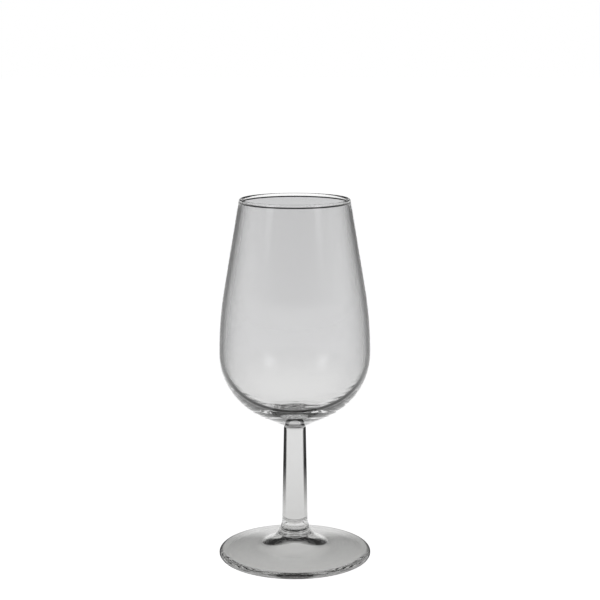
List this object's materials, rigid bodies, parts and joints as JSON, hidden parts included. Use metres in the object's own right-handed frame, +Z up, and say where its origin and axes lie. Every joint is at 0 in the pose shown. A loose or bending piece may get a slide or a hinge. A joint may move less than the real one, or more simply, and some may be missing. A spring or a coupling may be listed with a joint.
{
  "type": "wine tasting glass",
  "caption": "Clear wine tasting glass: an egg-shaped bowl that narrows to a beaded rim, on a short tapered stem with a round hollow foot.",
  "frame": {"origin": "centre of the foot's standing ring, on the table", "axes": "+Z up along the glass's axis, from the foot to the rim; X and Y are alike because the glass is round"},
  "size_m": [0.0654, 0.0654, 0.155],
  "materials": {
    "bowl_glass": "fire-polished, blown, faint grey tint",
    "stem_glass": "fire-polished, drawn, faint grey tint",
    "foot_glass": "fire-polished, pressed, faint grey tint"
  },
  "bodies": {
    "root": {"bowl": "bowl_glass", "stem": "stem_glass", "foot": "foot_glass"}
  },
  "joints": []
}
